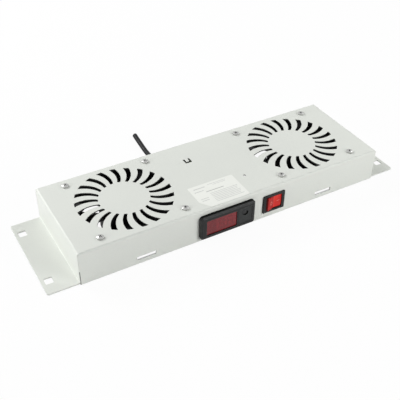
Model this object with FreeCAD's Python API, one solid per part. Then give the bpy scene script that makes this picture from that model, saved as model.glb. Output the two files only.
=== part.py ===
import FreeCAD, Part
import math
import os

from FreeCAD import Vector as V

# Rack fan tray: a folded sheet tray with two 120 mm axial fans under swirl grilles,
# a panel thermostat and a rocker switch in the front wall, and a power lead at the rear.
# Millimetres. +Z up, -Y is the front wall with the controls. Origin: centre of the
# mounting hole pattern, on the underside of the flanges.

# ---------------------------------------------------------------- driving dimensions
RACK_W = 482.6          # over the two flanges, 19 inch
HOLE_EDGE = 8.75        # mounting holes, from the ends of the flanges
HOLE_PITCH_Y = 88.9     # mounting holes, front to rear (2 U)
BOX_W = 407.5
DEPTH = 132.5           # 3 U panel height
HEIGHT = 44.0
SHEET = 1.5
BEND = 1.0              # inside bend radius
MOUNT_HOLE = 9.5        # square hole for a cage nut
FAN_SIZE = 119.5
FAN_DEPTH = 38.0
FAN_X = 118.75          # fan centres, left and right of the middle
FAN_PITCH = 105.0       # fan fixing holes
RING_WALL = 2.25
FLANGE_T = 4.5          # fan frame flange thickness
HUB_R = 30.5
SHAFT_R = 2.5
BLADES = 7
BLADE_PITCH_HUB = 34.0  # degrees from the plane of rotation
BLADE_PITCH_TIP = 17.0
SLOTS = 21              # swirl slots in each grille
THERMO_X = -19.0
THERMO_W = 74.0
THERMO_H = 33.0
THERMO_DEPTH = 58.0
BEZEL_T = 5.6           # thermostat bezel, proud of the wall
CONTROL_DROP = 1.5      # centre line of the controls, below mid height
ROCKER_X = 47.2
CORD_D = 6.6
CORD_X = -33.7
CORD_Z = 12.0

SWIRL_PHASE = 6.6       # where the first slot starts, degrees
PHASE_LEFT = 15.0       # where each impeller stands at rest, degrees
PHASE_RIGHT = 13.0

# ---------------------------------------------------------------- clearances
RUN = 0.05              # running fit, on the radius
FIT = 0.02              # close fit of fixed round pieces, on the radius
CLEAR = 0.3             # between moving pieces
EASY = 0.15             # loose fit of fixed pieces, on the radius

# ---------------------------------------------------------------- derived levels
D2 = DEPTH / 2.0
B2 = BOX_W / 2.0
MID_Z = HEIGHT / 2.0
CTRL_Z = MID_Z - CONTROL_DROP
CEIL = HEIGHT - SHEET               # underside of the top plate
R_OUT = BEND + SHEET
SEAM = 0.3
FAN_H2 = FAN_SIZE / 2.0
BORE_R = FAN_H2 - RING_WALL
TIP_R = BORE_R - 1.0
FAN_TOP = CEIL
FAN_BOT = CEIL - FAN_DEPTH
SCREW_R = 2.0
SCREW_HOLE_R = SCREW_R + EASY

os.makedirs("parts", exist_ok=True)


# ---------------------------------------------------------------- helpers
def place(plane, u, v, w):
    if plane == "XY":
        return V(u, v, w)
    if plane == "XZ":
        return V(u, w, v)
    return V(w, u, v)


def outline(pts, plane, w):
    """Closed wire through (u, v[, radius]) corners, each rounded by its radius."""
    n = len(pts)
    ends = []
    for i in range(n):
        p = pts[i]
        r = p[2] if len(p) > 2 else 0.0
        c = V(p[0], p[1], 0)
        if r <= 0:
            ends.append((c, None, c))
            continue
        a = V(pts[i - 1][0], pts[i - 1][1], 0)
        b = V(pts[(i + 1) % n][0], pts[(i + 1) % n][1], 0)
        d1 = (a - c).normalize()
        d2 = (b - c).normalize()
        half = d1.getAngle(d2) / 2.0
        t = r / math.tan(half)
        bis = (d1 + d2).normalize()
        mid = c + bis * (r / math.sin(half) - r)
        ends.append((c + d1 * t, mid, c + d2 * t))
    edges = []
    for i in range(n):
        s, m, e = ends[i]
        if m is not None:
            q = [place(plane, k.x, k.y, w) for k in (s, m, e)]
            edges.append(Part.Arc(q[0], q[1], q[2]).toShape())
        nxt = ends[(i + 1) % n][0]
        if (nxt - e).Length > 1e-6:
            edges.append(Part.makeLine(place(plane, e.x, e.y, w), place(plane, nxt.x, nxt.y, w)))
    return Part.Wire(edges)


def slab(pts, plane, lo, hi):
    face = Part.Face(outline(pts, plane, lo))
    return face.extrude(place(plane, 0, 0, hi - lo))


def rect(cu, cv, w, h, r=0.0):
    return [
        (cu - w / 2.0, cv - h / 2.0, r),
        (cu + w / 2.0, cv - h / 2.0, r),
        (cu + w / 2.0, cv + h / 2.0, r),
        (cu - w / 2.0, cv + h / 2.0, r),
    ]


def cyl(r, z0, z1, x=0.0, y=0.0):
    return Part.makeCylinder(r, z1 - z0, V(x, y, z0), V(0, 0, 1))


def cyl_y(r, x, z, y0, y1):
    return Part.makeCylinder(r, y1 - y0, V(x, y0, z), V(0, 1, 0))


def ring(r_out, r_in, z0, z1, x=0.0, y=0.0):
    return cyl(r_out, z0, z1, x, y).cut(cyl(r_in, z0 - 1, z1 + 1, x, y))


def block(x0, x1, y0, y1, z0, z1):
    return Part.makeBox(x1 - x0, y1 - y0, z1 - z0, V(x0, y0, z0))


def fuse(shapes):
    out = shapes[0]
    if len(shapes) > 1:
        out = out.fuse(shapes[1:])
    return out.removeSplitter()


def group(shapes):
    return Part.makeCompound(shapes)


def shift(shape, x=0.0, y=0.0, z=0.0):
    s = shape.copy()
    s.translate(V(x, y, z))
    return s


def spin(shape, deg, x=0.0, y=0.0):
    s = shape.copy()
    s.rotate(V(x, y, 0), V(0, 0, 1), deg)
    return s


def edges_at(shape, test):
    return [e for e in shape.Edges if test(e)]


def hexagon(af, x=0.0, y=0.0):
    r = af / math.sqrt(3.0)
    return [(x + r * math.cos(math.radians(60 * k)), y + r * math.sin(math.radians(60 * k))) for k in range(6)]


def front(cx, cz, w, h, r, d0, d1):
    """Rounded block on the front wall, from d0 to d1 outward of its outer face."""
    return slab(rect(cx, cz, w, h, r), "XZ", -D2 - d1, -D2 - d0)


def tube_along(points, r, label=None):
    """Round tube on straight runs joined by tangent arcs."""
    pts = [V(*p) for p in points]
    runs = [(pts[i + 1] - pts[i]).Length for i in range(len(pts) - 1)]
    edges = []
    last = pts[0]
    radii = []
    for i in range(1, len(pts) - 1):
        d1 = (pts[i] - pts[i - 1]).normalize()
        d2 = (pts[i + 1] - pts[i]).normalize()
        turn = d1.getAngle(d2)
        cut = 0.45 * min(runs[i - 1], runs[i])
        rad = cut / math.tan(turn / 2.0)
        radii.append(round(rad, 1))
        a = pts[i] - d1 * cut
        b = pts[i] + d2 * cut
        bis = (d2 - d1).normalize()
        mid = pts[i] + bis * (rad / math.cos(turn / 2.0) - rad)
        edges.append(Part.LineSegment(last, a).toShape())
        edges.append(Part.Arc(a, mid, b).toShape())
        last = b
    edges.append(Part.LineSegment(last, pts[-1]).toShape())
    path = Part.Wire(edges)
    start = Part.Wire([Part.makeCircle(r, pts[0], pts[1] - pts[0])])
    tube = path.makePipeShell([start], True, False)
    if label:
        want = math.pi * r * r * path.Length
        print(label, "radii", radii, "length", round(path.Length, 1), "volume ratio", round(tube.Volume / want, 4))
    return tube


def save(name, shape):
    shape.exportStep("parts/" + name + ".step")
    box = shape.BoundBox
    print(name, len(shape.Solids), "solids", shape.isValid(), [round(k, 1) for k in (
        box.XMin, box.XMax, box.YMin, box.YMax, box.ZMin, box.ZMax)])


# ---------------------------------------------------------------- swirl grille
GRILLE_OUT = BORE_R + 0.7
GRILLE_IN = HUB_R + 0.5


def polar(r, deg):
    return V(r * math.cos(math.radians(deg)), r * math.sin(math.radians(deg)), 0)


def swirl_slot():
    """One curved slot: radial at the hub end, swept and wider at the rim."""
    span = GRILLE_OUT - GRILLE_IN
    r_mid = GRILLE_IN + 0.48 * span
    lead = [(GRILLE_IN, 2.1, 1.95), (r_mid, 0.35, 2.75), (GRILLE_OUT, 5.65, 3.7)]
    ccw = [polar(r, a + math.degrees(w / r)) for r, a, w in lead]
    cw = [polar(r, a - math.degrees(w / r)) for r, a, w in lead]
    inner_mid = polar(GRILLE_IN - 0.8, lead[0][1])
    outer_mid = polar(GRILLE_OUT, lead[2][1])
    edges = [
        Part.Arc(cw[0], cw[1], cw[2]).toShape(),
        Part.Arc(cw[2], outer_mid, ccw[2]).toShape(),
        Part.Arc(ccw[2], ccw[1], ccw[0]).toShape(),
        Part.Arc(ccw[0], inner_mid, cw[0]).toShape(),
    ]
    prism = Part.Face(Part.Wire(edges)).extrude(V(0, 0, 3 * SHEET))
    return shift(prism, z=CEIL - SHEET)


# ---------------------------------------------------------------- housing
def housing():
    side_end = D2 - SHEET - SEAM
    hat = slab([
        (RACK_W / 2, 0), (RACK_W / 2, SHEET), (B2, SHEET, BEND), (B2, HEIGHT, R_OUT),
        (-B2, HEIGHT, R_OUT), (-B2, SHEET, BEND), (-RACK_W / 2, SHEET), (-RACK_W / 2, 0),
        (-B2 + SHEET, 0, R_OUT), (-B2 + SHEET, CEIL, BEND), (B2 - SHEET, CEIL, BEND),
        (B2 - SHEET, 0, R_OUT),
    ], "XZ", -side_end, side_end)
    hat = hat.common(slab(rect(0, 0, RACK_W, 2 * side_end, 2.5), "XY", -1, HEIGHT + 1))
    walls = slab([
        (-D2, 0), (-D2, HEIGHT, R_OUT), (D2, HEIGHT, R_OUT), (D2, 0),
        (D2 - SHEET, 0), (D2 - SHEET, CEIL, BEND), (-D2 + SHEET, CEIL, BEND), (-D2 + SHEET, 0),
    ], "YZ", -B2, B2)
    skin = slab([(-B2, -1), (-B2, HEIGHT, R_OUT), (B2, HEIGHT, R_OUT), (B2, -1)], "XZ", -D2 - 1, D2 + 1)
    body = fuse([hat, walls.common(skin)])

    cuts = []
    slot = swirl_slot()
    for sx in (-1, 1):
        for k in range(SLOTS):
            cuts.append(shift(spin(slot, SWIRL_PHASE + 360.0 / SLOTS * k), x=sx * FAN_X))
        for hx in (-1, 1):
            for hy in (-1, 1):
                cuts.append(cyl(SCREW_HOLE_R, CEIL - 1, HEIGHT + 1, sx * FAN_X + hx * FAN_PITCH / 2,
                                hy * FAN_PITCH / 2))
                if hx == 1:
                    mount = rect(sx * (RACK_W / 2 - HOLE_EDGE), hy * HOLE_PITCH_Y / 2, MOUNT_HOLE, MOUNT_HOLE, 1.0)
                    cuts.append(slab(mount, "XY", -1, SHEET + 1))
        # low strap slots in the front wall
        cuts.append(front(sx * (FAN_X + 4.7), 8.0, 24.0, 4.8, 0.8, -SHEET - 1, 1))
    cuts.append(front(THERMO_X, CTRL_Z, THERMO_W - 3.0, THERMO_H - 3.0, 1.0, -SHEET - 1, 1))
    cuts.append(front(ROCKER_X, CTRL_Z, SWITCH_W + 2 * EASY, SWITCH_H + 2 * EASY, 0.5, -SHEET - 1, 1))
    cuts.append(cyl_y(GLAND_R + EASY, CORD_X, CORD_Z, D2 - SHEET - 1, D2 + 1))
    cuts.append(cyl(1.5, CEIL - 1, HEIGHT + 1, FAN_X - 91.5, -30.8))
    # lanced tongue: a U-shaped cut that leaves a tab rooted at the rear
    window = slab(rect(TONGUE_X, TONGUE_Y, 9.0, 8.8, 0.6), "XY", CEIL - 1, HEIGHT + 1)
    tab = slab(rect(TONGUE_X, TONGUE_Y + 2.8, 4.2, 8.8, 0.6), "XY", CEIL - 2, HEIGHT + 2)
    cuts.append(window.cut(tab))
    # shallow spot dimple beside it
    cuts.append(Part.makeSphere(4.0, V(TONGUE_X - 12.0, TONGUE_Y - 1.0, HEIGHT + 3.75)))
    return body.cut(cuts)


TONGUE_X = THERMO_X
TONGUE_Y = D2 / 2 - 4.0
GLAND_R = 6.25
SWITCH_W = 27.6
SWITCH_H = 21.6


# ---------------------------------------------------------------- fan pieces, fan centre at x = y = 0
STRUT_LOW = FAN_TOP - 3.8           # underside of the struts
FOOT_W = 9.0
FOOT_IN = 4.0
BASE_T = 2.6
BASE_Z = FAN_TOP - 0.5 - BASE_T     # motor base plate, its underside
BEAR_R = 6.5
BEAR_H = 4.0
BEAR_TOP = BASE_Z - 0.5             # upper bearing, its outer face
TUBE_R = 8.5
TUBE_LOW = FAN_BOT + 9.0
HUB_LOW = FAN_BOT + 3.2
HUB_TOP = STRUT_LOW - 1.2
CAN_R = HUB_R - 2.4
CAN_IN = CAN_R - 1.4
STATOR_R = CAN_IN - 0.5


def fan_frame():
    parts = []
    for z0 in (FAN_BOT, FAN_TOP - FLANGE_T):
        parts.append(slab(rect(0, 0, FAN_SIZE, FAN_SIZE, 6.0), "XY", z0, z0 + FLANGE_T))
    parts.append(cyl(FAN_H2 - 0.01, FAN_BOT, FAN_TOP))
    body = fuse(parts)
    # flared mouth at the air inlet, straight bore above
    bore = cyl(BORE_R, FAN_BOT - 1, FAN_TOP + 1)
    mouth = Part.makeCone(BORE_R + 1.4, BORE_R, FLANGE_T, V(0, 0, FAN_BOT), V(0, 0, 1))
    body = body.cut([bore, mouth])
    holes = []
    for hx in (-1, 1):
        for hy in (-1, 1):
            holes.append(cyl(SCREW_HOLE_R, FAN_BOT - 1, FAN_TOP + 1, hx * FAN_PITCH / 2, hy * FAN_PITCH / 2))
    # seats for the feet of the motor carrier, in the outlet flange
    for k in range(4):
        seat = slab(rect(BORE_R, 0, 2 * FOOT_IN, FOOT_W, 0.5), "XY", STRUT_LOW, FAN_TOP + 1)
        holes.append(spin(seat, 45 + 90 * k))
    return body.cut(holes)


def fan_spider():
    """Motor carrier: base plate and bearing tube on four arms, their feet set into the frame."""
    web = []
    for k in range(4):
        wide = FOOT_W if k == 0 else 5.0
        arm = slab([
            (HUB_R - 6, -wide / 2), (BORE_R - 3, -wide / 2), (BORE_R - 1, -FOOT_W / 2), (BORE_R - 1, FOOT_W / 2),
            (BORE_R - 3, wide / 2), (HUB_R - 6, wide / 2),
        ], "XY", STRUT_LOW, FAN_TOP - 0.5)
        foot = slab(rect(BORE_R, 0, 2 * FOOT_IN, FOOT_W, 0.5), "XY", STRUT_LOW, FAN_TOP - 0.5)
        web.append(spin(arm.fuse(foot), 45 + 90 * k))
    base = cyl(HUB_R - 0.5, BASE_Z, FAN_TOP - 0.5)
    tube = cyl(TUBE_R, TUBE_LOW, BASE_Z + 1)
    return fuse([base, tube] + web).cut([
        cyl(BEAR_R, TUBE_LOW - 1, TUBE_LOW + BEAR_H),
        cyl(BEAR_R - 1.2, TUBE_LOW, FAN_TOP),
        cyl(BEAR_R, BEAR_TOP - BEAR_H, FAN_TOP),
    ])


def fan_bearings():
    low = ring(BEAR_R, SHAFT_R + RUN, TUBE_LOW, TUBE_LOW + BEAR_H)
    top = ring(BEAR_R, SHAFT_R + RUN, BEAR_TOP - BEAR_H, BEAR_TOP)
    return group([low, top])


def fan_stator():
    z0 = TUBE_LOW + 3.5
    z1 = z0 + 15.0
    parts = [cyl(TUBE_R + 5.5, z0, z1)]
    for k in range(6):
        neck = block(TUBE_R + 2, STATOR_R - 4, -3.5, 3.5, z0, z1)
        shoe = cyl(STATOR_R, z0, z1).cut(cyl(STATOR_R - 4.2, z0 - 1, z1 + 1))
        wedge = slab([(0, 0), (40, -17.5), (40, 17.5)], "XY", z0 - 1, z1 + 1)
        parts.append(spin(neck.fuse(shoe.common(wedge)), 60 * k))
    return fuse(parts).cut(cyl(TUBE_R + EASY, z0 - 1, z1 + 1))


def fan_coils():
    z0 = TUBE_LOW + 3.5
    z1 = z0 + 15.0
    x0 = TUBE_R + 5.8
    x1 = STATOR_R - 5.4
    out = slab(rect(0, (z0 + z1) / 2, 13.2, z1 - z0 + 7.0, 2.5), "YZ", x0, x1)
    hole = block(x0 - 1, x1 + 1, -3.5, 3.5, z0, z1)
    coil = out.cut(hole)
    return group([spin(coil, 60 * k) for k in range(6)])


def rotor_can():
    can = ring(CAN_R, CAN_IN, HUB_LOW + 1.0, HUB_TOP - 1.0)
    face = cyl(CAN_R, HUB_LOW + 1.0, HUB_LOW + 2.5)
    boss = cyl(6.0, HUB_LOW + 2.0, TUBE_LOW - 0.6)
    return fuse([can, face, boss]).cut(cyl(SHAFT_R + FIT, HUB_LOW, HUB_TOP))


CLIP_Z = BEAR_TOP + 0.5


def fan_shaft():
    rod = cyl(SHAFT_R, HUB_LOW + 1.0, CLIP_Z + 1.5)
    groove = ring(SHAFT_R + 1, SHAFT_R - 0.6, CLIP_Z, CLIP_Z + 0.7)
    rod = rod.cut(groove)
    return rod.makeChamfer(0.3, edges_at(rod, lambda e: e.BoundBox.ZMin > CLIP_Z + 1.3))


def fan_clip():
    disc = ring(4.4, SHAFT_R - 0.6, CLIP_Z, CLIP_Z + 0.7)
    return disc.cut(block(0.5, 6, -0.9, 0.9, CLIP_Z - 1, CLIP_Z + 2))


def blade():
    """Cambered, twisted blade lofted outward from inside the hub, then trimmed to the bore."""
    z_low = HUB_LOW + 1.6
    z_top = HUB_TOP - 0.8
    zc = (z_low + z_top) / 2.0
    wires = []
    for s in (0.0, 0.5, 1.0):
        x = 0.6 * HUB_R + s * (TIP_R + 2.0 - 0.6 * HUB_R)
        pitch = math.radians(BLADE_PITCH_HUB + (BLADE_PITCH_TIP - BLADE_PITCH_HUB) * s)
        chord = (z_top - z_low) * (0.97 - 0.17 * s) / math.sin(pitch)
        thick = 2.8 - 0.9 * s
        up = []
        down = []
        steps = 4
        for i in range(steps + 1):
            t = -0.5 + i / float(steps)
            bow = -0.05 * chord * (1.0 - 4.0 * t * t)
            half = 0.5 * thick * math.sqrt(max(0.0, 1.0 - (2.0 * t) ** 4)) + 0.18
            for side, store in ((1, up), (-1, down)):
                a = t * chord
                b = bow + side * half
                y = a * math.cos(pitch) - b * math.sin(pitch)
                z = a * math.sin(pitch) + b * math.cos(pitch)
                store.append(V(x, y, zc + z))
        top_side = Part.BSplineCurve()
        top_side.interpolate(up)
        low_side = Part.BSplineCurve()
        low_side.interpolate(list(reversed(down)))
        wires.append(Part.Wire([
            top_side.toShape(),
            Part.makeLine(up[-1], down[-1]),
            low_side.toShape(),
            Part.makeLine(down[0], up[0]),
        ]))
    solid = Part.makeLoft(wires, True, False)
    return solid.common(ring(TIP_R, HUB_R - 0.6, z_low, z_top))


def impeller(phase):
    hub = ring(HUB_R, CAN_R + FIT, HUB_LOW, HUB_TOP)
    lip = ring(HUB_R, HUB_R - 6.0, HUB_LOW, HUB_LOW + 1.0)
    hub = fuse([hub, lip])
    rim = edges_at(hub, lambda e: e.BoundBox.ZMax < HUB_LOW + 0.01 and e.BoundBox.XMax > HUB_R - 0.1)
    hub = hub.makeChamfer(0.8, rim)
    one = blade()
    return fuse([hub] + [spin(one, phase + 360.0 / BLADES * k) for k in range(BLADES)])


def fan_terminals(sx):
    """Plug block and two flat tabs in the frame corner that faces the middle bay."""
    zc = (FAN_BOT + FAN_TOP) / 2
    body = block(FAN_H2 + 1.2, FAN_H2 + 9.0, -5.5, 5.5, zc - 7, zc + 7)
    foot = block(FAN_H2 - 1.5, FAN_H2 + 2, -4.0, 4.0, zc - 5, zc + 5).cut(cyl(FAN_H2, zc - 9, zc + 9))
    tabs = [block(FAN_H2 + 9.0, FAN_H2 + 15.0, -1.2, 1.2, zc + k - 0.4, zc + k + 0.4) for k in (-3.2, 3.2)]
    one = group([body.fuse(foot).removeSplitter()])
    pins = group(tabs)
    turn = 45 if sx < 0 else 135
    return spin(one, turn), spin(pins, turn)


def pan_screw(x, y, under, length):
    """Pan-head screw with a cross recess; its head sits on z = under."""
    head_r = 4.2
    head_h = 2.7
    dome = Part.makeSphere(9.2, V(x, y, under + head_h - 9.2))
    head = cyl(head_r, under, under + head_h, x, y).common(dome)
    shank = cyl(SCREW_R, under - length, under + 0.5, x, y)
    cross = []
    for k in range(2):
        wing = slab([(-2.3, under + head_h + 0.1), (2.3, under + head_h + 0.1), (1.2, under + 0.9),
                     (-1.2, under + 0.9)], "XZ", -0.45, 0.45)
        cross.append(shift(spin(wing, 45 + 90 * k), x, y))
    return fuse([head, shank]).cut(cross)


def hex_nut(x, y, z0, h, af, hole_r):
    nut = slab(hexagon(af, x, y), "XY", z0, z0 + h)
    return nut.cut(cyl(hole_r, z0 - 1, z0 + h + 1, x, y))


def corners():
    return [(sx * FAN_X + hx * FAN_PITCH / 2, hy * FAN_PITCH / 2)
            for sx in (-1, 1) for hx in (-1, 1) for hy in (-1, 1)]


# ---------------------------------------------------------------- thermostat
WIN_X = THERMO_X - 9.1
PANEL_X = THERMO_X + 23.4
BUTTON_X = THERMO_X + 23.0
BUTTON_Z = CTRL_Z + 3.4
BUTTON_R = 3.4
BUTTON_TRAVEL = 0.8
BASE_STEP = BEZEL_T - 1.0


def thermostat():
    base = front(THERMO_X, CTRL_Z, THERMO_W, THERMO_H, 4.0, 0, BASE_STEP)
    base = base.makeChamfer(0.7, edges_at(base, lambda e: e.BoundBox.YMax < -D2 - BASE_STEP + 0.1))
    rim = front(THERMO_X, CTRL_Z, THERMO_W - 2.6, THERMO_H - 2.6, 3.0, BASE_STEP - 0.4, BEZEL_T)
    rim = rim.makeChamfer(0.9, edges_at(rim, lambda e: e.BoundBox.YMax < -D2 - BEZEL_T + 0.1))
    bezel = fuse([base, rim])
    win_hole = front(WIN_X, CTRL_Z - 0.4, 41.0, 21.4, 1.2, -1, BEZEL_T + 1)
    panel_hole = front(PANEL_X, CTRL_Z - 0.4, 17.6, 22.4, 1.2, -1, BEZEL_T + 1)
    bezel = bezel.cut([win_hole, panel_hole])
    window = front(WIN_X, CTRL_Z - 0.4, 41.0, 21.4, 1.2, BEZEL_T - 3.0, BEZEL_T - 1.1)
    panel = front(PANEL_X, CTRL_Z - 0.4, 17.2, 22.0, 1.0, BEZEL_T - 2.1, BEZEL_T - 0.4)
    panel = panel.cut(cyl_y(BUTTON_R + CLEAR, BUTTON_X, BUTTON_Z, -D2 - BEZEL_T - 1, -D2))
    rim_of_key = cyl_y(BUTTON_R + CLEAR + 0.8, BUTTON_X, BUTTON_Z, 0.05 - D2 - BEZEL_T, 0.5 - D2 - BEZEL_T)
    rim_of_key = rim_of_key.cut(cyl_y(BUTTON_R + CLEAR, BUTTON_X, BUTTON_Z, -D2 - BEZEL_T - 1, -D2))
    panel = fuse([panel, rim_of_key])
    # case behind the wall
    cw = THERMO_W - 3.4
    ch = THERMO_H - 3.4
    case = front(THERMO_X, CTRL_Z, cw, ch, 0.8, -THERMO_DEPTH, 0)
    inside = front(THERMO_X, CTRL_Z, cw - 3.6, ch - 3.6, 0.5, -THERMO_DEPTH + 2.0, 1)
    case = case.cut(inside)
    board = front(THERMO_X, CTRL_Z, cw - 4.4, ch - 4.4, 0.3, -8.6, -7.0)
    display = front(WIN_X, CTRL_Z - 0.4, 37.6, 18.5, 0.3, -7.0, BEZEL_T - 3.6)
    key = front(BUTTON_X, BUTTON_Z, 6.0, 6.0, 0.3, -7.0, -3.5)
    key = key.fuse(cyl_y(1.75, BUTTON_X, BUTTON_Z, -D2 + 2.1, -D2 + 3.5)).removeSplitter()
    cap = cyl_y(BUTTON_R, BUTTON_X, BUTTON_Z, 1.5 - D2 - BEZEL_T, -D2 + 0.8)
    cap = cap.makeChamfer(0.4, edges_at(cap, lambda e: e.BoundBox.YMax < 1.6 - D2 - BEZEL_T))
    collar = cyl_y(BUTTON_R + 1.1, BUTTON_X, BUTTON_Z, 2.5 - D2 - BEZEL_T, 3.3 - D2 - BEZEL_T)
    button = fuse([cap, collar])
    clips = []
    for s in (-1, 1):
        x0 = THERMO_X + s * cw / 2
        arm = slab([(x0, -D2 + SHEET), (x0 + s * 3.0, -D2 + SHEET), (x0 + s * 2.2, -D2 + SHEET + 8.0),
                    (x0, -D2 + SHEET + 20.0)], "XY", CTRL_Z - 6, CTRL_Z + 6)
        clips.append(arm)
    back = -D2 + THERMO_DEPTH
    term = block(THERMO_X - 27, THERMO_X + 27, back, back + 8.0, CTRL_Z - 7, CTRL_Z + 3)
    bores = []
    screws = []
    for k in range(10):
        x = THERMO_X - 22.5 + 5.0 * k
        bores.append(block(x - 1.6, x + 1.6, back + 3, back + 9, CTRL_Z - 6, CTRL_Z - 2.8))
        well = cyl(1.5, CTRL_Z + 1.4, CTRL_Z + 4, x, back + 4)
        bores.append(well)
        head = cyl(1.45, CTRL_Z + 1.4, CTRL_Z + 2.4, x, back + 4)
        slot = spin(block(x - 2, x + 2, back + 3.75, back + 4.25, CTRL_Z + 2.0, CTRL_Z + 3), 20 * k, x, back + 4)
        screws.append(head.cut(slot))
    term = term.cut(bores)
    save("thermostat_bezel", bezel)
    save("thermostat_window", window)
    save("thermostat_panel", panel)
    save("thermostat_case", case)
    save("thermostat_board", board)
    save("thermostat_display", display)
    save("thermostat_key_switch", key)
    save("thermostat_button", button)
    save("thermostat_clips", group(clips))
    save("thermostat_terminals", term)
    save("thermostat_terminal_screws", group(screws))


# ---------------------------------------------------------------- rocker switch
ROCK_R = 12.0            # end faces of the rocker, about its pivot
ROCK_H = 18.6
ROCK_TILT = 9.0          # half of the travel
SW_BEZEL_W = 31.0
SW_BEZEL_H = 25.5
SW_BEZEL_T = 2.0
PIVOT_Y = -D2 + 3.0
SW_DEPTH = 20.0
SW_WELL = 14.5


def rocker_switch():
    face = PIVOT_Y + D2 + SW_BEZEL_T      # bezel face to pivot
    open_w = 2 * math.sqrt(ROCK_R ** 2 - face ** 2) + 2 * CLEAR + 0.2
    open_h = ROCK_H + 2 * CLEAR
    bezel = front(ROCKER_X, CTRL_Z, SW_BEZEL_W, SW_BEZEL_H, 1.4, 0, SW_BEZEL_T)
    bezel = bezel.makeFillet(0.7, edges_at(bezel, lambda e: e.BoundBox.YMax < -D2 - SW_BEZEL_T + 0.05))
    body = front(ROCKER_X, CTRL_Z, SWITCH_W, SWITCH_H, 0.5, -SW_DEPTH, 0)
    body = fuse([bezel, body])
    well = front(ROCKER_X, CTRL_Z, open_w, open_h, 0.3, -SW_WELL, SW_BEZEL_T + 1)
    swing = Part.makeCylinder(ROCK_R + CLEAR, open_h, V(ROCKER_X, PIVOT_Y, CTRL_Z - open_h / 2), V(0, 0, 1))
    swing = swing.common(front(ROCKER_X, CTRL_Z, 2 * ROCK_R + 2, open_h, 0, -SW_WELL, SW_BEZEL_T + 1))
    pin_r = 1.5
    pins = cyl(pin_r + RUN, CTRL_Z - ROCK_H / 2 - 1.3, CTRL_Z + ROCK_H / 2 + 1.3, ROCKER_X, PIVOT_Y)
    body = body.cut([well, swing, pins])
    save("switch_body", body)

    # rocker in its middle position, then tipped so that its right half lies flat
    tip = math.radians(27.3)
    ax = ROCK_R * math.cos(tip)
    ay = ROCK_R * math.sin(tip)
    dip = ay - ax * math.tan(math.radians(ROCK_TILT))
    low = math.radians(-20.0)
    lx = ROCK_R * math.cos(low)
    ly = ROCK_R * math.sin(low)
    z0 = CTRL_Z - ROCK_H / 2
    edge = []
    p = [V(-ax, -ay, z0), V(0, -dip, z0), V(ax, -ay, z0), V(lx, -ly, z0), V(-lx, -ly, z0)]
    edge.append(Part.makeLine(p[0], p[1]))
    edge.append(Part.makeLine(p[1], p[2]))
    edge.append(Part.Arc(p[2], V(ROCK_R, 0, z0), p[3]).toShape())
    edge.append(Part.makeLine(p[3], p[4]))
    edge.append(Part.Arc(p[4], V(-ROCK_R, 0, z0), p[0]).toShape())
    rocker = Part.Face(Part.Wire(edge)).extrude(V(0, 0, ROCK_H))
    rim = edges_at(rocker, lambda e: e.BoundBox.ZLength < 0.01 and e.BoundBox.YMax < 0.0
                   and e.BoundBox.XLength > 5)
    rocker = rocker.makeFillet(0.6, rim)
    rocker = rocker.fuse(cyl(pin_r, z0 - 1.0, z0 + ROCK_H + 1.0))
    stem = slab(rect(0, 6.0, 6.0, 5.0, 0.5), "XY", CTRL_Z - 4, CTRL_Z + 4)
    rocker = rocker.fuse(stem).removeSplitter()
    rocker = rocker.cut(cyl_y(1.6, 0, CTRL_Z, 4.0, 10.0))
    plunger = cyl_y(1.5, 0, CTRL_Z, 4.2, 8.6)
    plunger = plunger.fuse(Part.makeSphere(1.5, V(0, 8.6, CTRL_Z))).removeSplitter()
    rocker = shift(spin(rocker, ROCK_TILT), ROCKER_X, PIVOT_Y)
    plunger = shift(spin(plunger, ROCK_TILT), ROCKER_X, PIVOT_Y)
    save("rocker", rocker)
    save("rocker_plunger", plunger)

    back = -D2 + SW_DEPTH
    tabs = []
    for sx in (-1, 1):
        for sz in (-1, 1):
            x = ROCKER_X + sx * 7.0
            z = CTRL_Z + sz * 5.0
            tab = block(x - 0.4, x + 0.4, back, back + 8.5, z - 2.4, z + 2.4)
            tabs.append(tab.cut(Part.makeCylinder(0.8, 4, V(x - 2, back + 5.5, z), V(1, 0, 0))))
    save("switch_tabs", group(tabs))
    wings = []
    for sx in (-1, 1):
        x0 = ROCKER_X + sx * SWITCH_W / 2
        wings.append(slab([(x0, -D2 + SHEET + 0.2), (x0 + sx * 1.6, -D2 + SHEET + 0.2),
                           (x0, -D2 + SHEET + 9.0)], "XY", CTRL_Z - 4, CTRL_Z + 4))
    save("switch_snaps", group(wings))


# ---------------------------------------------------------------- cable entry
def cable_entry():
    y_in = D2 - SHEET
    bore = cyl_y(CORD_D / 2 + EASY, CORD_X, CORD_Z, y_in - 12, D2 + 24)
    thread = cyl_y(GLAND_R, CORD_X, CORD_Z, y_in - 7.5, D2 + 9)
    flange = slab(hexagon(15.0, CORD_X, CORD_Z), "XZ", D2, D2 + 4.5)
    save("gland_body", fuse([thread, flange]).cut(bore))
    nut = slab(hexagon(17.0, CORD_X, CORD_Z), "XZ", y_in - 4.5, y_in)
    save("gland_locknut", nut.cut(cyl_y(GLAND_R, CORD_X, CORD_Z, y_in - 6, y_in + 1)))
    cap = slab(hexagon(15.0, CORD_X, CORD_Z), "XZ", D2 + 5.0, D2 + 11.0)
    dome = Part.makeCone(7.4, 5.8, 6.5, V(CORD_X, D2 + 11.0, CORD_Z), V(0, 1, 0))
    bell = Part.makeCone(CORD_D / 2 + EASY, CORD_D / 2 + 1.4, 8.6, V(CORD_X, D2 + 9.0, CORD_Z), V(0, 1, 0))
    cap = fuse([cap, dome]).cut([bore, bell, cyl_y(GLAND_R + FIT, CORD_X, CORD_Z, D2 + 4, D2 + 9)])
    save("gland_dome_nut", cap)


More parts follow.
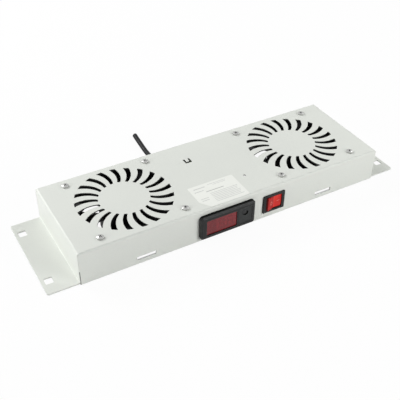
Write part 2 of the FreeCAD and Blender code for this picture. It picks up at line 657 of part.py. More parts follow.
CORD_LOW = CORD_D / 2 + 0.05
CORD_ROUTE = [
    (CORD_X, D2 - 14.0, CORD_Z),
    (CORD_X, D2 + 22.0, CORD_Z),
    (CORD_X + 2.0, D2 + 51.0, CORD_LOW),
    (CORD_X + 3.8, D2 + 79.0, CORD_LOW),
    (CORD_X + 6.2, D2 + 104.0, CORD_LOW),
]


# ---------------------------------------------------------------- bay fittings
BLOCK_X = CORD_X - 3.0
BLOCK_Y = D2 - 40.0


def terminal_block():
    """Three-way screw block under the top plate, with its clamp screws."""
    body = []
    screws = []
    z0 = CEIL - 14.0
    base = slab(rect(BLOCK_X, BLOCK_Y, 29.0, 9.0, 1.0), "XY", CEIL - 3.0, CEIL)
    body.append(base)
    cuts = []
    for k in (-1, 0, 1):
        x = BLOCK_X + 10.0 * k
        body.append(block(x - 4.0, x + 4.0, BLOCK_Y - 8.5, BLOCK_Y + 8.5, z0 + 2.0, CEIL - 2.5))
        cuts.append(block(x - 1.5, x + 1.5, BLOCK_Y - 10, BLOCK_Y + 10, CEIL - 8.5, CEIL - 5.5))
        for s in (-1, 1):
            y = BLOCK_Y + 5.0 * s
            body.append(cyl(2.9, z0, z0 + 4.0, x, y))
            cuts.append(cyl(1.9, z0 - 1, z0 + 2.0, x, y))
            head = cyl(1.85, z0 + 0.9, z0 + 2.0, x, y)
            screws.append(head.cut(spin(block(x - 2, x + 2, y - 0.25, y + 0.25, z0, z0 + 1.4), 35 * s, x, y)))
    for k in (-0.5, 0.5):
        body.append(block(BLOCK_X + 10 * k - 1.2, BLOCK_X + 10 * k + 1.2, BLOCK_Y - 4, BLOCK_Y + 4,
                          CEIL - 8.0, CEIL - 2.5))
    save("terminal_block", fuse(body).cut(cuts))
    save("terminal_block_screws", group(screws))


STUD_X = THERMO_X + 45.0
STUD_Z = MID_Z
CORE_R = 1.0                        # mains cores and wires
FAN_WIRE_R = 0.9


def earth_point():
    y0 = D2 - SHEET
    save("earth_stud", cyl_y(2.0, STUD_X, STUD_Z, y0 - 14.0, y0))
    tag = slab(rect(STUD_X, STUD_Z, 9.0, 9.0, 4.4), "XZ", y0 - 0.8, y0)
    tail = block(STUD_X - 12.0, STUD_X - 3.0, y0 - 0.8, y0, STUD_Z - 2.2, STUD_Z + 2.2)
    crimp = Part.makeCylinder(2.2, 6.0, V(STUD_X - 17.0, y0 - 2.3, STUD_Z), V(1, 0, 0))
    neck = block(STUD_X - 13.0, STUD_X - 10.8, y0 - 2.4, y0 - 0.2, STUD_Z - 1.6, STUD_Z + 1.6)
    tag = fuse([tag, tail, crimp, neck])
    tag = tag.cut([cyl_y(2.0, STUD_X, STUD_Z, y0 - 3, y0 + 1),
                   Part.makeCylinder(CORE_R + EASY, 5.0, V(STUD_X - 18.0, y0 - 2.3, STUD_Z), V(1, 0, 0))])
    save("earth_tag", tag)
    washer = cyl_y(4.5, STUD_X, STUD_Z, y0 - 1.6, y0 - 0.8).cut(cyl_y(2.0, STUD_X, STUD_Z, y0 - 3, y0))
    save("earth_washer", washer)
    nut = slab(hexagon(7.0, STUD_X, STUD_Z), "XZ", y0 - 4.8, y0 - 1.6)
    save("earth_nut", nut.cut(cyl_y(2.0, STUD_X, STUD_Z, y0 - 6, y0)))


def wiring():
    y_block = BLOCK_Y + 8.5
    y_in = BLOCK_Y - 8.5
    z_block = CEIL - 7.0
    cord_end = CORD_ROUTE[0][1]
    back = -D2 + THERMO_DEPTH
    zt = CTRL_Z - 4.4
    cores = []
    for k in (-1, 0, 1):
        x = BLOCK_X + 10.0 * k
        xs = CORD_X + 2.2 * k
        cores.append(tube_along([
            (xs, cord_end - CLEAR, CORD_Z), (xs, cord_end - 8.0, CORD_Z),
            (x, y_block + 5.5, z_block), (x, y_block - 3.0, z_block),
        ], CORE_R))
    save("supply_cores", group(cores))
    back_sw = -D2 + SW_DEPTH + 8.5
    feed = []
    for k, side, y_a, y_b in ((-1, 1, 13.0, -2.0), (0, -1, 18.0, -6.0)):
        x = BLOCK_X + 10.0 * k
        xe = ROCKER_X + 7.0 * side
        feed.append(tube_along([
            (x, y_in + 3.0, z_block), (x, back + y_a, z_block), (xe, back + y_b, CTRL_Z + 5.0),
            (xe, back_sw + CLEAR, CTRL_Z + 5.0),
        ], CORE_R))
    save("switch_wires", group(feed))
    for sx, name in ((-1, "left"), (1, "right")):
        zc = (FAN_BOT + FAN_TOP) / 2
        turn = 45 if sx < 0 else 135
        pair = []
        for j, s in enumerate((-1, 1)):
            tip = polar(FAN_H2 + 15.0 + CLEAR, turn)
            out = polar(FAN_H2 + 24.0, turn)
            z = zc + 3.2 * s
            xt = THERMO_X - 22.5 + 5.0 * j if sx < 0 else THERMO_X + 12.5 + 5.0 * j
            pair.append(tube_along([
                (sx * FAN_X + tip.x, tip.y, z), (sx * FAN_X + out.x, out.y, z),
                (xt, back + 22.0, zt), (xt, back + 7.0, zt),
            ], FAN_WIRE_R))
        save("fan_wires_" + name, group(pair))
    y0 = D2 - SHEET - 2.3
    x = BLOCK_X + 10.0
    earth = tube_along([
        (x, y_in + 3.0, z_block), (x, y_in - 7.5, z_block), (x + 13.0, y_in - 11.5, z_block),
        (x + 19.0, BLOCK_Y + 8.0, z_block - 2.5), (STUD_X - 29.0, y0, STUD_Z), (STUD_X - 13.5, y0, STUD_Z),
    ], CORE_R)
    save("earth_wire", earth)


def probe():
    """Sensor of the thermostat, held to the top plate by a clip."""
    px = THERMO_X + 52.0
    pz = CEIL - 4.5
    y0 = 6.0
    y1 = 34.0
    rod = cyl_y(2.5, px, pz, y0, y1)
    rod = rod.makeChamfer(1.0, edges_at(rod, lambda e: e.BoundBox.YMin > y1 - 0.01))
    save("probe", rod)
    clip = ring(3.7, 2.5 + FIT, 0, 6.0)
    clip.rotate(V(0, 0, 0), V(1, 0, 0), -90)
    clip = shift(clip, px, y0 + 10.0, pz)
    pad = block(px - 9.0, px + 3.7, y0 + 10.0, y0 + 16.0, CEIL - 1.0, CEIL).cut(cyl_y(3.2, px, pz, y0, y1))
    save("probe_clip", fuse([clip, pad]).cut(cyl_y(2.5 + FIT, px, pz, y0, y1)))


def build():
    save("housing", housing())
    nut_h = 3.2
    save("fan_screws", group([pan_screw(x, y, HEIGHT, SHEET + FLANGE_T + nut_h + 1.0) for x, y in corners()]))
    save("fan_nuts", group([hex_nut(x, y, CEIL - FLANGE_T - nut_h, nut_h, 7.0, SCREW_R) for x, y in corners()]))
    for sx, name, phase in ((-1, "left", PHASE_LEFT), (1, "right", PHASE_RIGHT)):
        x = sx * FAN_X
        plug, pins = fan_terminals(sx)
        save("fan_frame_" + name, shift(fan_frame(), x))
        save("fan_spider_" + name, shift(fan_spider(), x))
        save("fan_bearings_" + name, shift(fan_bearings(), x))
        save("fan_stator_" + name, shift(fan_stator(), x))
        save("fan_coils_" + name, shift(fan_coils(), x))
        save("fan_plug_" + name, shift(plug, x))
        save("fan_tabs_" + name, shift(pins, x))
        save("rotor_can_" + name, shift(rotor_can(), x))
        save("rotor_shaft_" + name, shift(fan_shaft(), x))
        save("rotor_clip_" + name, shift(fan_clip(), x))
        save("impeller_" + name, shift(impeller(phase), x))
    thermostat()
    rocker_switch()
    cable_entry()
    save("power_lead", tube_along(CORD_ROUTE, CORD_D / 2, "power_lead"))
    terminal_block()
    earth_point()
    wiring()
    probe()


build()
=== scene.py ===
import math

import bpy
from mathutils import Matrix, Vector


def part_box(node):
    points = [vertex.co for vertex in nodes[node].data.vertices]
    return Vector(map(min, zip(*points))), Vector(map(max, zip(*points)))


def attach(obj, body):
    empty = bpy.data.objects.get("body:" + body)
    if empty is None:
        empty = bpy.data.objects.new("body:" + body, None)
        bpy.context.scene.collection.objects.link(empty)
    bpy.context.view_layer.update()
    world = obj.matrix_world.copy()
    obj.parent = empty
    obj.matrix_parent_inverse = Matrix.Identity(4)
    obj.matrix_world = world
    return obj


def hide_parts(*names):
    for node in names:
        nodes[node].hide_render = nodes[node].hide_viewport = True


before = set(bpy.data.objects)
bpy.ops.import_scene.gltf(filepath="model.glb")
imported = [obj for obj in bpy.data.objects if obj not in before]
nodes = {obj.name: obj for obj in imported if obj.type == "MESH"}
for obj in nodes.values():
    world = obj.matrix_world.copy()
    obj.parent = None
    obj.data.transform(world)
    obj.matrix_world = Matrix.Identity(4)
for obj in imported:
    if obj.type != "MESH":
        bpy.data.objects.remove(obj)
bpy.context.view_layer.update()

scene = bpy.context.scene
scene.view_settings.view_transform = "Standard"

MM = 1000.0                      # millimetres in a metre
WHITE = (1.0, 1.0, 1.0, 1.0)


# ------------------------------------------------------------------ camera
def aim_camera(azimuth, elevation, distance, target, roll, lens):
    """Angles in degrees, distance and target in metres, lens in millimetres."""
    a, e, r = (math.radians(k) for k in (azimuth, elevation, roll))
    back = Vector((math.sin(a) * math.cos(e), -math.cos(a) * math.cos(e), math.sin(e)))
    right = (-back).cross(Vector((0, 0, 1))).normalized()
    up = right.cross(-back)
    turned = right * math.cos(r) + up * math.sin(r)
    up = up * math.cos(r) - right * math.sin(r)
    data = bpy.data.cameras.new("camera")
    data.sensor_width = 36.0
    data.lens = lens
    data.clip_start = 0.05
    data.clip_end = 20.0
    cam = bpy.data.objects.new("camera", data)
    scene.collection.objects.link(cam)
    axes = Matrix((turned, up, back)).transposed().to_4x4()
    cam.matrix_world = Matrix.Translation(Vector(target) + back * distance) @ axes
    scene.camera = cam


aim_camera(azimuth=-29.949, elevation=38.341, distance=0.887, target=(-0.01632, 0.001254, 0.0),
           roll=0.713, lens=63.36)


# ------------------------------------------------------------------ light and surroundings
def white_where_seen(tree, shader, seen):
    """Mixes in plain white for the camera, reflections and what is seen through glass."""
    path = tree.nodes.new("ShaderNodeLightPath")
    ray = path.outputs["Is Camera Ray"]
    for kind in ("Is Glossy Ray", "Is Transmission Ray"):
        either = tree.nodes.new("ShaderNodeMath")
        either.operation = "MAXIMUM"
        tree.links.new(ray, either.inputs[0])
        tree.links.new(path.outputs[kind], either.inputs[1])
        ray = either.outputs[0]
    share = tree.nodes.new("ShaderNodeMath")
    share.operation = "MULTIPLY"
    share.inputs[1].default_value = seen
    mix = tree.nodes.new("ShaderNodeMixShader")
    tree.links.new(ray, share.inputs[0])
    tree.links.new(share.outputs[0], mix.inputs[0])
    tree.links.new(shader, mix.inputs[1])
    return mix


def make_world(strength):
    """White all round: dim as light, full white where it is seen."""
    world = bpy.data.worlds.new("studio")
    scene.world = world
    world.use_nodes = True
    tree = world.node_tree
    tree.nodes.clear()
    soft = tree.nodes.new("ShaderNodeBackground")
    soft.inputs["Color"].default_value = WHITE
    soft.inputs["Strength"].default_value = strength
    plain = tree.nodes.new("ShaderNodeBackground")
    plain.inputs["Color"].default_value = WHITE
    plain.inputs["Strength"].default_value = 1.0
    mix = white_where_seen(tree, soft.outputs[0], 1.0)
    tree.links.new(plain.outputs[0], mix.inputs[2])
    out = tree.nodes.new("ShaderNodeOutputWorld")
    tree.links.new(mix.outputs[0], out.inputs[0])


def make_floor(half, drop, seen):
    """Pale floor; the share of it that isn't plain white holds the shadow."""
    mesh = bpy.data.meshes.new("floor")
    corners = [(-half, -half, 0), (half, -half, 0), (half, half, 0), (-half, half, 0)]
    mesh.from_pydata(corners, [], [(0, 1, 2, 3)])
    floor = bpy.data.objects.new("floor", mesh)
    floor.location.z = -drop
    scene.collection.objects.link(floor)
    mat = bpy.data.materials.new("floor_white")
    mat.use_nodes = True
    tree = mat.node_tree
    tree.nodes.clear()
    matt = tree.nodes.new("ShaderNodeBsdfDiffuse")
    matt.inputs["Color"].default_value = (0.88, 0.88, 0.88, 1.0)
    glow = tree.nodes.new("ShaderNodeEmission")
    glow.inputs["Color"].default_value = WHITE
    glow.inputs["Strength"].default_value = 1.0
    mix = white_where_seen(tree, matt.outputs[0], seen)
    tree.links.new(glow.outputs[0], mix.inputs[2])
    out = tree.nodes.new("ShaderNodeOutputMaterial")
    tree.links.new(mix.outputs[0], out.inputs[0])
    mesh.materials.append(mat)


def area_lamp(name, position, power, aim=(0, 0, 0.02), size=1.2):
    """Round soft lamp: position, aim and size in metres, power in watts."""
    data = bpy.data.lights.new(name, "AREA")
    data.shape = "DISK"
    data.size = size
    data.energy = power
    lamp = bpy.data.objects.new(name, data)
    lamp.location = position
    lamp.rotation_euler = (Vector(aim) - Vector(position)).to_track_quat("-Z", "Y").to_euler()
    scene.collection.objects.link(lamp)


make_world(strength=0.15)
make_floor(half=4.0, drop=0.0004, seen=0.95)
area_lamp("left", (-2.222, 0.0, 0.595), 18.5)
area_lamp("front_low", (1.111, -1.924, 0.595), 18.5)
area_lamp("front_high", (0.942, -1.632, 1.319), 9.5)
area_lamp("behind", (-0.942, 1.632, 1.319), 38.5)
area_lamp("right", (1.884, 0.0, 1.319), 13.0)


# ------------------------------------------------------------------ materials
def srgb(r, g, b):
    def one(c):
        c = c / 255.0
        return c / 12.92 if c <= 0.04045 else ((c + 0.055) / 1.055) ** 2.4
    return (one(r), one(g), one(b), 1.0)


class Surface:
    """A Principled material with procedural colour, roughness, grain, rubbed edges and painted edge
    highlights.
    """

    def __init__(self, name, colour, rough=0.5, metal=0.0, specular=0.5):
        self.mat = bpy.data.materials.new(name)
        self.mat.use_nodes = True
        self.tree = self.mat.node_tree
        self.bsdf = self.tree.nodes["Principled BSDF"]
        self.coords = self.tree.nodes.new("ShaderNodeTexCoord")
        self.colour = colour
        self.top = None
        self.rough = rough
        self.bump_out = None
        self.bsdf.inputs["Base Color"].default_value = colour
        self.bsdf.inputs["Roughness"].default_value = rough
        self.bsdf.inputs["Metallic"].default_value = metal
        self.bsdf.inputs["Specular IOR Level"].default_value = specular
        self.mat.diffuse_color = colour

    def new(self, kind):
        return self.tree.nodes.new(kind)

    def link(self, a, b):
        self.tree.links.new(a, b)

    def noise(self, scale, detail, stretch=(1, 1, 1)):
        mapping = self.new("ShaderNodeMapping")
        mapping.inputs["Scale"].default_value = stretch
        self.link(self.coords.outputs["Object"], mapping.inputs["Vector"])
        tex = self.new("ShaderNodeTexNoise")
        tex.inputs["Scale"].default_value = scale
        tex.inputs["Detail"].default_value = detail
        tex.inputs["Roughness"].default_value = 0.55
        self.link(mapping.outputs[0], tex.inputs["Vector"])
        return tex.outputs["Fac"]

    def ramp(self, value, low, high, a, b):
        """From a at low to b at high, and level outside."""
        node = self.new("ShaderNodeMapRange")
        node.inputs["From Min"].default_value = low
        node.inputs["From Max"].default_value = high
        node.inputs["To Min"].default_value = a
        node.inputs["To Max"].default_value = b
        self.link(value, node.inputs["Value"])
        return node.outputs[0]

    def mix(self, factor, a, b):
        """Two colours, each a value or a socket."""
        node = self.new("ShaderNodeMix")
        node.data_type = "RGBA"
        self.link(factor, node.inputs[0])
        for value, socket in ((a, node.inputs[6]), (b, node.inputs[7])):
            if isinstance(value, tuple):
                socket.default_value = value
            else:
                self.link(value, socket)
        return node.outputs[2]

    def calc(self, operation, a, b=None):
        """A Math node on one or two values, each a number or a socket."""
        node = self.new("ShaderNodeMath")
        node.operation = operation
        for value, socket in ((a, node.inputs[0]), (b, node.inputs[1])):
            if isinstance(value, float):
                socket.default_value = value
            elif value is not None:
                self.link(value, socket)
        return node.outputs[0]

    def times(self, a, b):
        return b if a is None else self.calc("MULTIPLY", a, b)

    def split(self, vector):
        node = self.new("ShaderNodeSeparateXYZ")
        self.link(vector, node.inputs[0])
        return node.outputs

    def facing(self):
        """How far a face looks up: 1 for a level face, 0 for a wall, -1 for an underside."""
        return self.split(self.new("ShaderNodeNewGeometry").outputs["True Normal"])[2]

    def paint(self, mask, colour):
        """Another colour over what is there, as far as the mask is on."""
        self.top = self.mix(mask, self.top or self.colour, colour)
        self.link(self.top, self.bsdf.inputs["Base Color"])
        return self

    def vary(self, amount, scale, tint=(1.0, 1.0, 1.0)):
        """Soft patches of lighter and darker colour."""
        base = self.colour
        dark = tuple(c * (1 - amount) for c in base[:3]) + (1.0,)
        light = tuple(min(1.0, c * (1 + amount) * t) for c, t in zip(base[:3], tint)) + (1.0,)
        self.top = self.mix(self.ramp(self.noise(scale, 4.0), 0.35, 0.65, 0.0, 1.0), dark, light)
        self.link(self.top, self.bsdf.inputs["Base Color"])
        return self

    def speckle(self, scale, colour, low, high, most):
        """Fine specks of dust or pigment over the colour."""
        return self.paint(self.ramp(self.noise(scale, 2.0), low, high, 0.0, most), colour)

    def gloss(self, spread, scale, stretch=(1, 1, 1)):
        """Uneven roughness, as handling and spraying leave it."""
        spots = self.noise(scale, 3.0, stretch)
        value = self.ramp(spots, 0.3, 0.7, self.rough - spread, self.rough + spread)
        self.link(value, self.bsdf.inputs["Roughness"])
        return self

    def bump(self, scale, depth, strength, stretch=(1, 1, 1)):
        """Grain with a real depth in metres; several calls add up."""
        node = self.new("ShaderNodeBump")
        node.inputs["Strength"].default_value = strength
        node.inputs["Distance"].default_value = depth
        self.link(self.noise(scale, 2.0, stretch), node.inputs["Height"])
        if self.bump_out is not None:
            self.link(self.bump_out, node.inputs["Normal"])
        self.bump_out = node.outputs[0]
        self.link(self.bump_out, self.bsdf.inputs["Normal"])
        return self

    def bevel(self, radius):
        node = self.new("ShaderNodeBevel")
        node.samples = 6
        node.inputs["Radius"].default_value = radius
        return node.outputs[0]

    def soft_edges(self, radius):
        """Rounds the shading of every edge, as a real edge is broken."""
        self.bump_out = self.bevel(radius)
        self.link(self.bump_out, self.bsdf.inputs["Normal"])
        return self

    def edge_wear_and_highlight(self, radius, colour, most=0.6, scale=260.0):
        """Lighter edges, found where the normal of a rounded edge leaves the true one: rubbed edges,
        and on the bezel a painted edge highlight.
        """
        geometry = self.new("ShaderNodeNewGeometry")
        dot = self.new("ShaderNodeVectorMath")
        dot.operation = "DOT_PRODUCT"
        self.link(self.bevel(radius), dot.inputs[0])
        self.link(geometry.outputs["Normal"], dot.inputs[1])
        edge = self.ramp(dot.outputs["Value"], 0.99, 0.85, 0.0, 1.0)
        patch = self.ramp(self.noise(scale, 4.0), 0.42, 0.60, 0.15, most)
        return self.paint(self.times(edge, patch), colour)

    def within(self, low, high, level=None, most=1.0):
        """On inside a box given in metres; with level, only where the face is steeper than that."""
        place = self.split(self.coords.outputs["Object"])
        total = None
        for axis in range(3):
            total = self.times(total, self.calc("GREATER_THAN", place[axis], low[axis]))
            total = self.times(total, self.calc("LESS_THAN", place[axis], high[axis]))
        if level is not None:
            steep = self.calc("LESS_THAN", self.calc("ABSOLUTE", self.facing()), level)
            total = self.times(total, steep)
        return self.times(total, most)

    def upward(self, least):
        """On where a face looks up more than that."""
        return self.calc("GREATER_THAN", self.facing(), least)

    def near_screws(self, radius):
        """On within a radius of the axes of the eight fan screws, folded into one corner."""
        place = self.split(self.coords.outputs["Object"])
        squares = []
        for value, folds in ((place[0], (FAN_X, SCREW_HALF)), (place[1], (SCREW_HALF,))):
            for fold in folds:
                value = self.calc("SUBTRACT", self.calc("ABSOLUTE", value), fold)
            squares.append(self.times(value, value))
        return self.calc("LESS_THAN", self.calc("ADD", *squares), radius * radius)

    def dull(self, mask, level):
        """Less mirror where the mask is on."""
        plain = self.bsdf.inputs["Specular IOR Level"].default_value
        self.link(self.ramp(mask, 0.0, 1.0, plain, level), self.bsdf.inputs["Specular IOR Level"])
        return self

    def glow_through(self, weight, radius):
        """Light that spreads under the surface: its share, and how far each colour goes."""
        self.bsdf.inputs["Subsurface Weight"].default_value = weight
        self.bsdf.inputs["Subsurface Radius"].default_value = radius
        return self

    def coat(self, weight, rough):
        self.bsdf.inputs["Coat Weight"].default_value = weight
        self.bsdf.inputs["Coat Roughness"].default_value = rough
        return self


FAN_X = 0.11875                  # fan axes from the middle, in metres
SCREW_HALF = 0.0525              # fan screws from the fan axis, both ways
# places on the part in metres, each a low and a high corner
TOP_OPENINGS = (-0.2, -0.062, 0.0424), (0.2, 0.062, 0.0438)
SCREW_HEADS = (-0.2, -0.062, 0.0440), (0.2, 0.062, 0.0462)
STRAP_SLOTS = (-0.2, -0.067, 0.004), (0.2, -0.064, 0.012)
CORNER_SEAM = (-0.2045, -0.0668, 0.0), (-0.2029, -0.0655, 0.019)
WINDOW_END = (-0.060, -0.08, 0.0), (-0.036, -0.06, 0.044)
WINDOW_HALF = (-0.060, -0.08, 0.0), (-0.024, -0.06, 0.044)
ROCKER_HALF = (0.030, -0.08, 0.0), (0.0466, -0.05, 0.044)
ROCKER_END = (0.030, -0.08, 0.0), (0.0372, -0.05, 0.044)

coat_grey = (Surface("powder_coat_grey", srgb(224, 227, 221), 0.46, specular=0.42)
             .vary(0.018, 7.0, (1.0, 1.0, 0.995))
             .speckle(900.0, srgb(206, 209, 204), 0.60, 0.72, 0.35)
             .edge_wear_and_highlight(0.0007, srgb(238, 240, 236), 0.55, 120.0).gloss(0.05, 16.0)
             .soft_edges(0.0007).bump(1500.0, 0.00005, 0.5).bump(55.0, 0.0002, 0.10))
# painted shade: the punched walls of the openings in the top are coloured near black for the shade
# inside them
coat_grey.paint(coat_grey.within(*TOP_OPENINGS, 0.5, 0.94), srgb(34, 35, 35))
# painted highlight: the sills of the strap slots are coloured near white, as if lit
sill_highlight = coat_grey.times(coat_grey.upward(0.5), coat_grey.within(*STRAP_SLOTS))
coat_grey.paint(sill_highlight, srgb(253, 254, 252))
# the open seam at the foot of the left front corner
coat_grey.paint(coat_grey.within(*CORNER_SEAM, None, 0.85), srgb(84, 86, 84))
zinc = (Surface("zinc_plate", srgb(176, 177, 176), 0.34, 0.75).vary(0.08, 500.0, (1.0, 0.99, 0.96))
        .gloss(0.10, 900.0).soft_edges(0.0003).bump(2600.0, 0.00003, 0.5))
# painted shade: the cross recess of the fan screws is coloured near black for the shade in it
recess_shade = zinc.times(zinc.near_screws(0.0025), zinc.within(*SCREW_HEADS, None, 0.95))
zinc.paint(recess_shade, srgb(14, 14, 15))
zinc_dull = (Surface("zinc_nut", srgb(178, 179, 177), 0.42, 1.0).vary(0.12, 300.0, (1.0, 0.99, 0.95))
             .gloss(0.10, 700.0).bump(2200.0, 0.00004, 0.5))
tin = (Surface("tinned_brass", srgb(198, 196, 188), 0.36, 1.0).vary(0.08, 260.0)
       .gloss(0.10, 500.0).bump(1800.0, 0.00003, 0.4, (1, 1, 6)))
nickel = (Surface("nickel_screw", srgb(205, 200, 188), 0.28, 1.0).vary(0.08, 420.0)
          .gloss(0.08, 800.0).bump(2400.0, 0.00003, 0.4))
steel = (Surface("ground_steel", srgb(190, 190, 190), 0.22, 1.0).vary(0.05, 300.0)
         .gloss(0.07, 500.0, (1, 1, 8)).bump(1500.0, 0.00002, 0.4, (1, 1, 12)))
probe_steel = (Surface("probe_sleeve", srgb(172, 172, 170), 0.34, 1.0).vary(0.06, 200.0)
               .gloss(0.08, 400.0).bump(1600.0, 0.00003, 0.4, (8, 1, 8)))
lamination = (Surface("stator_lamination", srgb(112, 110, 106), 0.5, 0.9)
              .vary(0.15, 180.0, (1.0, 0.96, 0.9))
              .gloss(0.10, 300.0, (1, 1, 20)).bump(2000.0, 0.00006, 0.8, (0.05, 0.05, 1)))
copper = (Surface("enamelled_copper", srgb(168, 92, 48), 0.34, 0.8).vary(0.12, 300.0, (1.05, 0.98, 0.9))
          .gloss(0.08, 500.0).bump(1900.0, 0.0002, 0.9, (0.08, 0.08, 1)).coat(0.5, 0.2))
frame_black = (Surface("fan_frame_paint", srgb(17, 17, 18), 0.58, specular=0.14).vary(0.20, 60.0)
               .speckle(1400.0, srgb(36, 36, 37), 0.60, 0.70, 0.5)
               .edge_wear_and_highlight(0.0005, srgb(60, 60, 60), 0.4, 200.0).gloss(0.08, 90.0)
               .soft_edges(0.0004).bump(1200.0, 0.00008, 0.6))
# painted shade: the spider has a darker, duller copy of the frame paint, for the shade it sits in under
# the openings in the top
spider_black_shaded = (Surface("fan_spider_paint_shaded", srgb(9, 9, 10), 0.66, specular=0.05).vary(0.20, 60.0)
                .speckle(1400.0, srgb(22, 22, 23), 0.60, 0.70, 0.5).gloss(0.08, 90.0)
                .bump(1200.0, 0.00008, 0.6))
impeller_black = (Surface("impeller_plastic", srgb(14, 14, 15), 0.50, specular=0.14).vary(0.15, 80.0)
                  .speckle(700.0, srgb(40, 39, 37), 0.64, 0.76, 0.35).gloss(0.08, 60.0)
                  .soft_edges(0.0004).bump(1700.0, 0.00004, 0.5))
can_black = (Surface("rotor_can_paint", srgb(27, 27, 28), 0.40, specular=0.4).vary(0.15, 60.0)
             .gloss(0.08, 120.0).bump(1500.0, 0.00004, 0.5))
# painted highlight: the bezel's edges are coloured much lighter, partly as rubbed edges and partly
# standing in for the light along them
bezel_black = (Surface("bezel_plastic", srgb(30, 31, 31), 0.34, specular=0.22).vary(0.07, 90.0)
               .edge_wear_and_highlight(0.0006, srgb(118, 120, 120), 0.75, 300.0).gloss(0.06, 140.0)
               .soft_edges(0.0004).bump(2600.0, 0.00003, 0.5))
# painted shade: the top side of the bezel is coloured darker and given less mirror, for the shade it
# shows under the lamp behind
bezel_black.paint(bezel_black.upward(0.9), srgb(12, 13, 13)).dull(bezel_black.upward(0.9), 0.06)
panel_grey = (Surface("panel_plastic", srgb(44, 46, 46), 0.52, specular=0.26).vary(0.06, 120.0)
              .edge_wear_and_highlight(0.0004, srgb(92, 94, 94), 0.4, 300.0).gloss(0.05, 200.0)
              .soft_edges(0.0003).bump(2400.0, 0.00004, 0.6))
button_black = (Surface("button_plastic", srgb(20, 21, 21), 0.46).vary(0.10, 300.0)
                .gloss(0.06, 500.0).soft_edges(0.0003).bump(2400.0, 0.00003, 0.5))
window_red = (Surface("window_red", srgb(122, 26, 32), 0.26, specular=0.3)
              .vary(0.10, 70.0, (1.08, 0.95, 1.0))
              .speckle(420.0, srgb(150, 60, 66), 0.58, 0.72, 0.35).gloss(0.06, 160.0)
              .bump(1400.0, 0.00002, 0.4).coat(0.2, 0.12))
# painted shade: the window is coloured deeper red toward its left end
window_red.paint(window_red.within(*WINDOW_END, None, 0.35), srgb(92, 18, 24))
window_red.paint(window_red.within(*WINDOW_HALF, None, 0.25), srgb(104, 22, 28))
rocker_red = (Surface("rocker_red", srgb(214, 52, 48), 0.34, specular=0.1)
              .vary(0.08, 140.0, (1.04, 1.2, 1.0))
              .edge_wear_and_highlight(0.0005, srgb(222, 60, 50), 0.4, 260.0).gloss(0.05, 200.0)
              .soft_edges(0.0005).bump(1800.0, 0.00002, 0.4).coat(0.04, 0.15)
              .glow_through(0.15, (0.002, 0.0004, 0.0003)))
# painted shade: the left half of the rocker is coloured deeper red for the shade on it, and its left
# end darker still as painted shadow from the rim of its opening
rocker_red.paint(rocker_red.within(*ROCKER_HALF, None, 0.8), srgb(160, 11, 9))
rocker_red.paint(rocker_red.within(*ROCKER_END, None, 0.85), srgb(96, 14, 12))
switch_black = (Surface("switch_plastic", srgb(24, 25, 25), 0.38, specular=0.24).vary(0.08, 140.0)
                .edge_wear_and_highlight(0.0005, srgb(92, 95, 94), 0.45, 260.0).gloss(0.06, 200.0)
                .soft_edges(0.0004).bump(2400.0, 0.00003, 0.5))
case_black = (Surface("case_plastic", srgb(38, 38, 39), 0.50, specular=0.4).vary(0.10, 60.0)
              .edge_wear_and_highlight(0.0004, srgb(78, 78, 78), 0.4, 240.0).gloss(0.07, 120.0)
              .bump(1900.0, 0.00006, 0.6))
clip_grey = (Surface("clip_plastic", srgb(120, 121, 122), 0.48).vary(0.06, 90.0)
             .gloss(0.06, 160.0).bump(1800.0, 0.00005, 0.5))
board_green = (Surface("circuit_board", srgb(24, 88, 52), 0.36).vary(0.18, 260.0, (0.9, 1.1, 0.9))
               .speckle(620.0, srgb(186, 170, 96), 0.66, 0.70, 0.8).gloss(0.08, 300.0)
               .bump(900.0, 0.00006, 0.6).coat(0.3, 0.2))
display_grey = (Surface("display_case", srgb(92, 86, 86), 0.52).vary(0.08, 160.0)
                .gloss(0.06, 260.0).bump(1800.0, 0.00003, 0.5))
terminal_green = (Surface("terminal_plastic", srgb(46, 128, 72), 0.42).vary(0.07, 110.0)
                  .edge_wear_and_highlight(0.0004, srgb(110, 170, 125), 0.4, 260.0).gloss(0.06, 200.0)
                  .bump(2000.0, 0.00004, 0.5))
nylon_white = (Surface("nylon_white", srgb(226, 225, 216), 0.46).vary(0.04, 90.0, (1.0, 1.0, 0.97))
               .gloss(0.07, 160.0).bump(1500.0, 0.00006, 0.5).glow_through(0.1, (0.001, 0.001, 0.0008)))
nylon_black = (Surface("nylon_black", srgb(34, 34, 35), 0.50, specular=0.4).vary(0.10, 80.0)
               .edge_wear_and_highlight(0.0005, srgb(80, 80, 80), 0.4, 220.0).gloss(0.07, 150.0)
               .soft_edges(0.0004).bump(1500.0, 0.00006, 0.6))
sheath = (Surface("lead_sheath", srgb(22, 23, 25), 0.42, specular=0.1).vary(0.12, 60.0)
          .speckle(700.0, srgb(52, 53, 54), 0.60, 0.74, 0.4).gloss(0.08, 120.0)
          .bump(900.0, 0.00008, 0.5, (1, 0.15, 1)))


def insulation(name, colour):
    return (Surface(name, colour, 0.38, specular=0.5).vary(0.08, 120.0).gloss(0.06, 240.0)
            .bump(1100.0, 0.00005, 0.5, (1, 0.3, 1)))


core_brown = insulation("core_brown", srgb(104, 62, 38))
core_blue = insulation("core_blue", srgb(52, 98, 168))
core_green = insulation("core_green_yellow", srgb(106, 150, 52))
wire_grey = insulation("wire_black", srgb(44, 44, 46))

